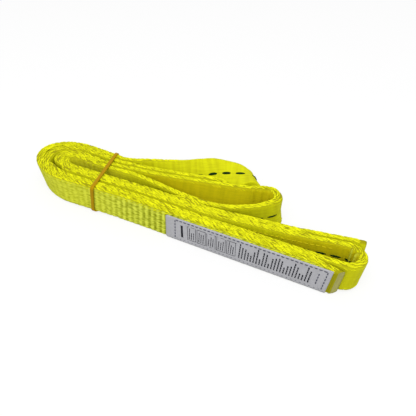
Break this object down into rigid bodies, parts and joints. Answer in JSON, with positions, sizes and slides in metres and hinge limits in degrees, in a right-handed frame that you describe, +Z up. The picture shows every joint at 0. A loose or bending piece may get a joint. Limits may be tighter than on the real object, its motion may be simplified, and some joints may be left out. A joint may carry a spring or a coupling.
{
  "type": "webbing eye sling",
  "caption": "Flat fluorescent yellow webbing lifting sling with a sewn eye at each end, folded on edge into a bundle and held by a rubber band.",
  "frame": {"origin": "middle of the folded bundle's bounding box, on the surface that its edges stand on", "axes": "+X along the bundle towards the fold at mid-length, +Y to the back, where the eyes are, +Z up across the webbing's width"},
  "size_m": [0.2813, 0.0936, 0.0276],
  "materials": {
    "webbing": "woven fluorescent yellow polyester",
    "label": "smooth pale grey woven tag",
    "label_thread": "dark grey sewing thread",
    "body_thread": "yellow polyester sewing thread",
    "rubber": "amber natural rubber"
  },
  "bodies": {
    "sling": {"webbing": "webbing", "label": "label", "label_seam_thread": "label_thread", "label_end_thread": "label_thread", "front_lap_thread_upper": "body_thread", "front_lap_thread_lower": "body_thread", "back_lap_inner_thread_upper": "body_thread", "back_lap_inner_thread_lower": "body_thread", "back_lap_outer_thread_upper": "body_thread", "back_lap_outer_thread_lower": "body_thread"},
    "band": {"rubber_band": "rubber"}
  },
  "joints": [
    {"name": "band_slide", "type": "slide", "parent": "sling", "child": "band", "axis": [-1, 0, 0], "range_m": [0, 0.08], "deforming": ["rubber_band"]}
  ]
}
